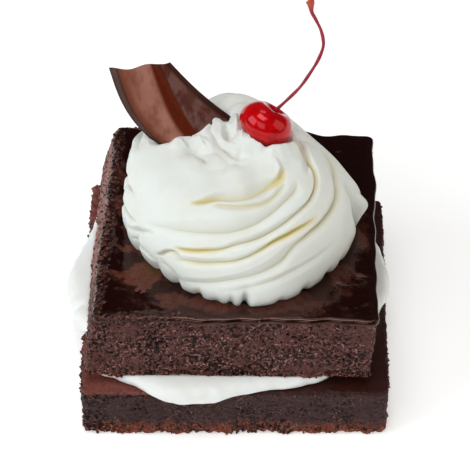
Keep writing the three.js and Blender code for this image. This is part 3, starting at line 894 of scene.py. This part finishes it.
def open_curve(points, count):
    """count + 1 places, evenly spaced by length, on a smooth curve through points."""
    points = np.asarray(points, float)
    last = len(points) - 1
    fine = np.linspace(0, last, 600)
    k = np.minimum(fine.astype(int), last - 1)
    before = points[np.maximum(k - 1, 0)]
    after = points[np.minimum(k + 2, last)]
    line = past_four(before, points[k], points[k + 1], after, (fine - k)[:, None])
    travelled = lengths_along(line)
    wanted = np.linspace(0, travelled[-1], count + 1)
    return np.column_stack([np.interp(wanted, travelled, column) for column in line.T]), travelled[-1]


def stem():
    """The stalk, uneven and a little angular, thick where it leaves the fruit and at its tip."""
    steps, sides = STEM["steps"], STEM["sides"]
    route, length = open_curve(STEM["route"], steps)
    piece, column, row = spun_skin("cherry_stalk", sides, steps)
    along = unit(np.gradient(route, axis=0))
    side = unit(np.cross((0, 1, 0), along))
    other = np.cross(along, side)
    to_tip = (1 - row / steps) * length
    knob = smooth(1 - to_tip / STEM["knob_length"])
    radius = mix(STEM["radius"], STEM["knob_radius"], knob) * (1 + 0.5 * np.exp(-row / 4))
    radius *= 1 + 0.1 * np.sin(row * 0.21) * (1 - knob)
    radius *= np.where((row == 0) | (row == steps), 0, 1)
    turn = math.tau * column / sides
    radius *= 1 + 0.1 * np.cos(3 * turn + row * 0.02) + 0.12 * knob * np.cos(5 * turn)
    p = route[row] + side[row] * (radius * np.cos(turn))[:, None]
    p += other[row] * (radius * np.sin(turn))[:, None]
    set_places(piece, p)
    paint(piece, knob=knob)
    return piece


# Crumbs

def crumbs():
    """Loose crumbs on the squares' edges and walls, partly bedded in them."""
    draw = np.random.default_rng(11)
    beds = [
        # square, level from and to as a share of its height, how many, smallest and largest radius
        (LOWER, 0.0, 0.16, 240, 0.25, 0.62),
        (LOWER, 0.7, 1.0, 130, 0.22, 0.5),
        (UPPER, 0.0, 0.08, 200, 0.25, 0.6),
        (UPPER, 0.1, 0.95, 220, 0.22, 0.5),
    ]
    bm = bmesh.new()
    for spec, low, high, count, small, large in beds:
        column = draw.integers(0, spec["columns"], count)
        z = mix(spec["bottom"], spec["top"], draw.uniform(low, high, count))
        p, facing = wall_place(spec, column, spec["columns"], np.ones(count), np.zeros(count), z)
        for place, way in zip(p, facing):
            radius = draw.uniform(small, large)
            x, y = place[:2] + way * radius * 0.2
            middle = np.array([x, y, max(place[2], spec["bottom"] + radius * 0.8)])
            made = bmesh.ops.create_icosphere(bm, subdivisions=1, radius=radius * MM)
            for vert in made["verts"]:
                vert.co *= draw.uniform(0.65, 1.25)
            bmesh.ops.translate(bm, verts=made["verts"], vec=(middle * MM).tolist())
    piece = finish_mesh(bm, "brownie_crumbs")
    paint_evenly(piece, pore=0, crust=0.25, top_skin=0, open_crumb=0.5, left=0, left_wall=0)
    return piece


# Finishes

def tint(red, green, blue):
    """A colour from its 0-255 screen values."""
    linear = [((c / 255 + 0.055) / 1.055) ** 2.4 if c > 10 else c / 255 / 12.92 for c in (red, green, blue)]
    return (*linear, 1)


def scaled(colour, share):
    """A colour made darker or lighter."""
    return (*(c * share for c in colour[:3]), 1)


class Finish:
    """A node material with a Principled shader, and short ways to add nodes to it."""

    def __init__(self, name, **shader):
        self.material = bpy.data.materials.new(name)
        self.material.use_nodes = True
        self.tree = self.material.node_tree
        self.shader = self.tree.nodes["Principled BSDF"]
        for key, value in shader.items():
            self.set(self.shader.inputs[key.replace("_", " ")], value)

    def set(self, socket, value):
        """Links a socket to another, or sets its value."""
        if isinstance(value, bpy.types.NodeSocket):
            self.tree.links.new(value, socket)
        else:
            socket.default_value = value

    def add(self, kind, inputs, **settings):
        """Adds a node, with its inputs and its settings."""
        node = self.tree.nodes.new(kind)
        for key, value in settings.items():
            setattr(node, key, value)
        for key, value in inputs.items():
            self.set(node.inputs[key], value)
        return node

    def places(self, stretch=(1, 1, 1)):
        """Object coordinates in millimetres."""
        spot = self.tree.nodes.new("ShaderNodeTexCoord").outputs["Object"]
        mapping = self.add("ShaderNodeMapping", {"Vector": spot, "Scale": tuple(s / MM for s in stretch)})
        return mapping.outputs["Vector"]

    def painted(self, name):
        """The numbers painted on a piece under this name."""
        return self.add("ShaderNodeAttribute", {}, attribute_name=name).outputs["Fac"]

    def noise(self, places, size, detail=3, rough=0.55):
        """Noise from 0 to 1, whose largest spots have this size in millimetres."""
        node = self.add("ShaderNodeTexNoise", {
            "Vector": places, "Scale": 1 / size, "Detail": detail, "Roughness": rough})
        return node.outputs["Fac"]

    def ramp(self, value, low, high, to_low=0.0, to_high=1.0):
        """Goes smoothly from to_low to to_high as value goes from low to high."""
        node = self.add("ShaderNodeMapRange", {
            "Value": value, "From Min": low, "From Max": high, "To Min": to_low, "To Max": to_high},
            interpolation_type="SMOOTHSTEP")
        return node.outputs["Result"]

    def math(self, operation, a, b):
        return self.add("ShaderNodeMath", {0: a, 1: b}, operation=operation).outputs[0]

    def blend(self, share, a, b):
        """Colour a turning to colour b."""
        return self.add("ShaderNodeMix", {0: share, 6: a, 7: b}, data_type="RGBA").outputs[2]

    def stain(self, colour, mask, strength, other):
        """A colour that turns to another where a mask is high, as far as the strength lets it."""
        return self.blend(self.math("MULTIPLY", mask, strength), colour, other)

    def bump(self, height, depth, strength=1.0, under=None):
        """Fine relief, depth millimetres high."""
        inputs = {"Height": height, "Distance": depth * MM, "Strength": strength}
        if under is not None:
            inputs["Normal"] = under
        return self.add("ShaderNodeBump", inputs).outputs["Normal"]

    def colour(self, value):
        self.set(self.shader.inputs["Base Color"], value)

    def roughness(self, value):
        self.set(self.shader.inputs["Roughness"], value)

    def normal(self, value):
        self.set(self.shader.inputs["Normal"], value)


def crumb_finish(name, crumb, light, dark, crust_colour, skin_colour, left_skin):
    """Porous brownie crumb, with a lighter baked crust, a smooth top skin, and painted light and shade."""
    finish = Finish(name, Roughness=0.6, Specular_IOR_Level=0.22)
    places = finish.places()
    coarse = finish.noise(places, 3.5, 4)
    mottle = finish.noise(places, 0.8, 5, 0.7)
    speck = finish.noise(places, 0.62, 3, 0.6)
    pits = finish.noise(places, 0.95, 2, 0.55)
    names = ("pore", "crust", "top_skin", "open_crumb", "left", "left_wall")
    pore, crust, skin, open_crumb, left, pale_wall = map(finish.painted, names)
    colour = finish.blend(finish.ramp(coarse, 0.35, 0.68), crumb, scaled(crumb, 1.35))
    # painted light on the left wall
    colour = finish.stain(colour, pale_wall, finish.ramp(mottle, 0.36, 0.56, 0.25, 0.9), light)
    # small pits with painted shade in them and lighter grains, partly painted highlights; more of both
    # where the crumb is open
    opened = finish.math("MULTIPLY", open_crumb, 0.13)
    pit = finish.ramp(finish.math("SUBTRACT", pits, opened), 0.37, 0.335, 0, 0.95)
    grains = finish.math("ADD", speck, finish.math("MULTIPLY", opened, 0.7))
    # lighter grains: partly the crumb's own tone, partly painted highlights
    colour = finish.blend(finish.ramp(grains, 0.64, 0.7, 0, 0.95), colour, light)
    # the crust speckled darker and lighter, its light specks partly painted highlights
    speckled = finish.blend(finish.ramp(mottle, 0.4, 0.6), scaled(crust_colour, 0.45), crust_colour)
    speckled = finish.blend(finish.ramp(speck, 0.53, 0.61, 0, 0.95), speckled, light)
    colour = finish.blend(crust, colour, speckled)
    # painted shade in the pits and in the pores
    colour = finish.blend(pit, colour, dark)
    colour = finish.blend(finish.ramp(pore, 0.1, 0.7), colour, dark)
    # painted light and shade on the top skin: lit towards the left, shaded towards the right
    top = finish.blend(left, skin_colour, left_skin)
    top = finish.blend(finish.ramp(mottle, 0.5, 0.38, 0, 0.4), top, scaled(skin_colour, 0.5))
    finish.colour(finish.stain(colour, skin, 0.92, top))
    finish.roughness(finish.ramp(skin, 0, 1, 0.6, 0.45))
    relief = finish.math("SUBTRACT", finish.math("ADD", mottle, speck), pit)
    rough_share = finish.ramp(skin, 0, 1, 1.0, 0.2)
    finish.normal(finish.bump(finish.math("MULTIPLY", relief, rough_share), 0.4))
    return finish.material


def glaze_finish():
    """Set chocolate glaze, glossy and nearly black, with painted brown reflections in less glossy patches.
    """
    finish = Finish("chocolate_glaze", Specular_IOR_Level=0.5, Specular_Tint=(1, 0.5, 0.42, 1),
                    Coat_Weight=0.12, Coat_Roughness=0.05)
    places = finish.places()
    cloud, bubbly, olive, lip = map(finish.painted, ("cloud", "bubbly", "olive", "lip"))
    streaks = finish.noise(places, 2.0, 5, 0.62)
    fine = finish.noise(places, 0.7, 4, 0.6)
    # painted reflection: brown patches, flecked darker
    broken = finish.math("MULTIPLY", cloud, finish.ramp(streaks, 0.3, 0.65, 0.55, 1.1))
    patch = finish.ramp(broken, 0, 1)
    colour = finish.blend(patch, tint(22, 2, 1), tint(90, 48, 36))
    specks = finish.ramp(fine, 0.5, 0.66)
    colour = finish.stain(colour, specks, finish.math("MULTIPLY", patch, 0.6), tint(52, 26, 20))
    # a greener patch of painted reflection
    colour = finish.stain(colour, olive, 0.75, tint(76, 56, 26))
    colour = finish.stain(colour, bubbly, finish.ramp(fine, 0.46, 0.64, 0.0, 0.6), tint(104, 64, 56))
    finish.colour(finish.stain(colour, lip, 0.9, tint(26, 8, 6)))
    gloss = finish.math("MULTIPLY", patch, finish.ramp(bubbly, 0, 1, 0.5, 0.1))
    finish.roughness(finish.ramp(gloss, 0, 1, 0.07, 0.3))
    soft = finish.bump(streaks, 0.16, 0.5)
    finish.normal(finish.bump(fine, 0.26, finish.ramp(bubbly, 0, 1, 0.12, 1.0), soft))
    return finish.material


def cream_finish(name, cool, warm):
    """Whipped cream: soft white, with warm painted shade in its creases, golden in the deepest."""
    finish = Finish(name, Roughness=0.5, Specular_IOR_Level=0.3, Subsurface_Weight=0.35,
                    Subsurface_Radius=(1.0, 0.75, 0.5), Subsurface_Scale=2.2 * MM)
    places = finish.places()
    crease, gold, shade, syrup = map(finish.painted, ("crease", "gold", "shade", "syrup"))
    colour = finish.blend(finish.ramp(finish.noise(places, 9, 3), 0.35, 0.7), cool, warm)
    # painted shade: on the creases' shaded upper walls, in their hollows, and golden deep in them
    colour = finish.stain(colour, shade, 0.55, tint(206, 200, 176))
    colour = finish.stain(colour, crease, 0.5, tint(214, 208, 178))
    colour = finish.stain(colour, gold, 0.72, tint(224, 200, 92))
    finish.colour(finish.stain(colour, syrup, 0.4, tint(196, 160, 148)))
    finish.normal(finish.bump(finish.noise(places, 1.6, 4), 0.16, 0.35))
    return finish.material


def curl_finish():
    """Snapped milk chocolate: satin, streaked along its length, darker past its fold, with painted light
    and shade.
    """
    finish = Finish("curl_chocolate", Specular_IOR_Level=0.3, Specular_Tint=(1, 0.5, 0.4, 1))
    places = finish.places((1, 1, 0.35))
    streak = finish.noise(places, 3, 4)
    fold, rim, edge = map(finish.painted, ("fold", "rim", "edge"))
    colour = finish.blend(finish.ramp(streak, 0.3, 0.72), tint(112, 60, 45), tint(132, 80, 64))
    # painted highlight: a paler band across the main face
    paler = finish.ramp(fold, -0.62, -0.3)
    colour = finish.stain(colour, paler, finish.ramp(streak, 0.3, 0.6, 0.4, 1.0), tint(158, 108, 94))
    # painted shade on the left rim that turns back, and beside the fold
    colour = finish.blend(finish.ramp(rim, 0.12, 0.0), colour, tint(104, 54, 38))
    colour = finish.blend(finish.ramp(fold, -0.2, -0.13), colour, tint(86, 24, 4))
    # painted sheen on the facet past the fold, which faces the light
    facet = finish.blend(finish.ramp(streak, 0.4, 0.62), tint(80, 42, 36), tint(106, 74, 70))
    colour = finish.blend(finish.ramp(fold, -0.01, 0.02), colour, facet)
    # painted shade along the right edge and on the turned-back rim
    colour = finish.blend(finish.ramp(edge, 0.1, 0.05), colour, tint(44, 14, 10))
    colour = finish.blend(finish.ramp(rim, 0.01, -0.02), colour, tint(50, 18, 12))
    finish.colour(colour)
    finish.roughness(finish.ramp(streak, 0.3, 0.7, 0.36, 0.5))
    finish.normal(finish.bump(finish.noise(places, 0.9, 4), 0.1, 0.4))
    return finish.material


def cherry_finish():
    """Candied cherry flesh under a film of syrup."""
    finish = Finish("cherry_flesh", Roughness=0.14, Specular_IOR_Level=0.6,
                    Specular_Tint=(1, 0.16, 0.2, 1), Coat_Weight=0.3, Coat_Roughness=0.02,
                    Subsurface_Weight=0.1, Subsurface_Radius=(1.0, 0.05, 0.04),
                    Subsurface_Scale=2.0 * MM)
    places = finish.places()
    veins = finish.noise(places, 2.6, 4, 0.6)
    height = finish.painted("height")
    colour = finish.blend(finish.ramp(veins, 0.35, 0.7), tint(200, 3, 12), tint(172, 1, 9))
    # painted shade in the dimple round the stalk
    colour = finish.blend(finish.ramp(height, 0.9, 0.98), colour, tint(140, 6, 14))
    finish.colour(colour)
    finish.normal(finish.bump(finish.noise(places, 1.8, 3), 0.15, 0.35))
    return finish.material


def stem_finish():
    """Dyed cherry stalk, paler and orange at the knob."""
    finish = Finish("cherry_stalk", Roughness=0.38, Specular_IOR_Level=0.45)
    places = finish.places((1, 1, 0.3))
    grain_lines = finish.noise(places, 0.5, 4)
    knob = finish.painted("knob")
    colour = finish.blend(finish.ramp(grain_lines, 0.35, 0.65), tint(172, 34, 58), tint(142, 20, 42))
    colour = finish.blend(finish.ramp(knob, 0.1, 0.8), colour, tint(190, 70, 44))
    finish.colour(colour)
    finish.normal(finish.bump(grain_lines, 0.08, 0.6))
    return finish.material


# Pieces in place

def dress(piece, finish, slot_name, *nodes):
    """Gives a piece its finish and puts it in the place of the nodes named. slot_name is not used."""
    piece.data.materials.append(finish)
    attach(piece, "root")
    if nodes:
        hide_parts(*nodes)


lower_crumb = crumb_finish(
    "lower_crumb", crumb=tint(60, 38, 37), light=tint(150, 104, 92), dark=tint(24, 9, 7),
    crust_colour=tint(148, 72, 48), skin_colour=tint(50, 14, 7), left_skin=tint(130, 72, 64))
upper_crumb = crumb_finish(
    "upper_crumb", crumb=tint(88, 52, 48), light=tint(184, 134, 124), dark=tint(26, 8, 6),
    crust_colour=tint(132, 66, 46), skin_colour=tint(64, 32, 26), left_skin=tint(96, 56, 50))
cream = cream_finish("whipped_cream", tint(234, 238, 234), tint(231, 233, 226))
# painted light: the same cream, lighter, for the filling
filling_cream = cream_finish("filling_cream", tint(246, 249, 247), tint(243, 246, 242))

dress(slab("lower_square", LOWER), lower_crumb, "brownie_crumb", "brownie_lower")
dress(slab("upper_square", UPPER), upper_crumb, "brownie_crumb", "brownie_upper")
dress(glaze(), glaze_finish(), "dark_chocolate")
dress(filling(), filling_cream, "whipped_cream", "cream_filling")
dress(swirl(), cream, "whipped_cream", "cream_swirl")
dress(curl(), curl_finish(), "dark_chocolate", "chocolate_curl")
dress(cherry(), cherry_finish(), "cherry_flesh", "cherry")
dress(stem(), stem_finish(), "cherry_stem", "cherry_stem")
dress(crumbs(), upper_crumb, "brownie_crumb")


# Floor, light and camera

def floor():
    """A plain pale floor."""
    bm = bmesh.new()
    bmesh.ops.create_grid(bm, x_segments=1, y_segments=1, size=4)
    sheet = finish_mesh(bm, "floor")
    finish = Finish("pale_floor", Roughness=0.7, Specular_IOR_Level=0.2, Emission_Color=(1, 1, 1, 1),
                    Emission_Strength=0.4)
    spots = finish.noise(finish.places(), 60, 2)
    finish.colour(finish.blend(spots, (0.88, 0.88, 0.88, 1), (0.9, 0.9, 0.9, 1)))
    sheet.data.materials.append(finish.material)


def softbox(name, place, target, size, power, colour):
    """A soft light at a place, turned to a target."""
    light = bpy.data.lights.new(name, "AREA")
    light.shape = "RECTANGLE"
    light.size, light.size_y = size
    light.energy = power
    light.color = colour
    lamp = bpy.data.objects.new(name, light)
    bpy.context.scene.collection.objects.link(lamp)
    lamp.location = place
    way = Vector(target) - Vector(place)
    lamp.rotation_euler = way.to_track_quat("-Z", "Y").to_euler()


def studio():
    """Five softboxes and a dim world round them."""
    world = bpy.data.worlds.new("studio")
    world.use_nodes = True
    backdrop = world.node_tree.nodes["Background"]
    backdrop.inputs["Color"].default_value = (1, 1, 1, 1)
    backdrop.inputs["Strength"].default_value = 0.06
    bpy.context.scene.world = world
    softbox("key_left", (-0.95, -0.3, 0.7), (0, 0, 0.06), (0.75, 0.75), 5.8, (0.94, 1.0, 1.01))
    softbox("fill_right", (0.85, -0.2, 0.5), (0, 0, 0.06), (0.7, 0.7), 2.2, (1.0, 0.95, 0.8))
    softbox("front", (-0.36, -0.9, 0.75), (0, 0, 0.03), (0.65, 0.65), 2.9, (1.0, 0.99, 0.98))
    softbox("back", (0.1, 0.6, 1.2), (0, 0, 0.05), (0.4, 0.3), 0.9, (1.0, 0.98, 0.96))
    softbox("top", (-0.1, -0.1, 1.2), (0, 0, 0), (0.7, 0.5), 5.1, (1.0, 1.0, 1.0))
    bpy.context.scene.view_settings.view_transform = "Standard"


def camera():
    """A long lens that looks down on the near side."""
    lens = bpy.data.cameras.new("camera")
    lens.lens = 137.1
    lens.sensor_width = 36
    lens.clip_start = 0.01
    eye = bpy.data.objects.new("camera", lens)
    bpy.context.scene.collection.objects.link(eye)
    eye.location = (0, -0.37997, 0.4097)
    eye.rotation_euler = (math.radians(45.7), 0, 0)
    bpy.context.scene.camera = eye


floor()
studio()
camera()
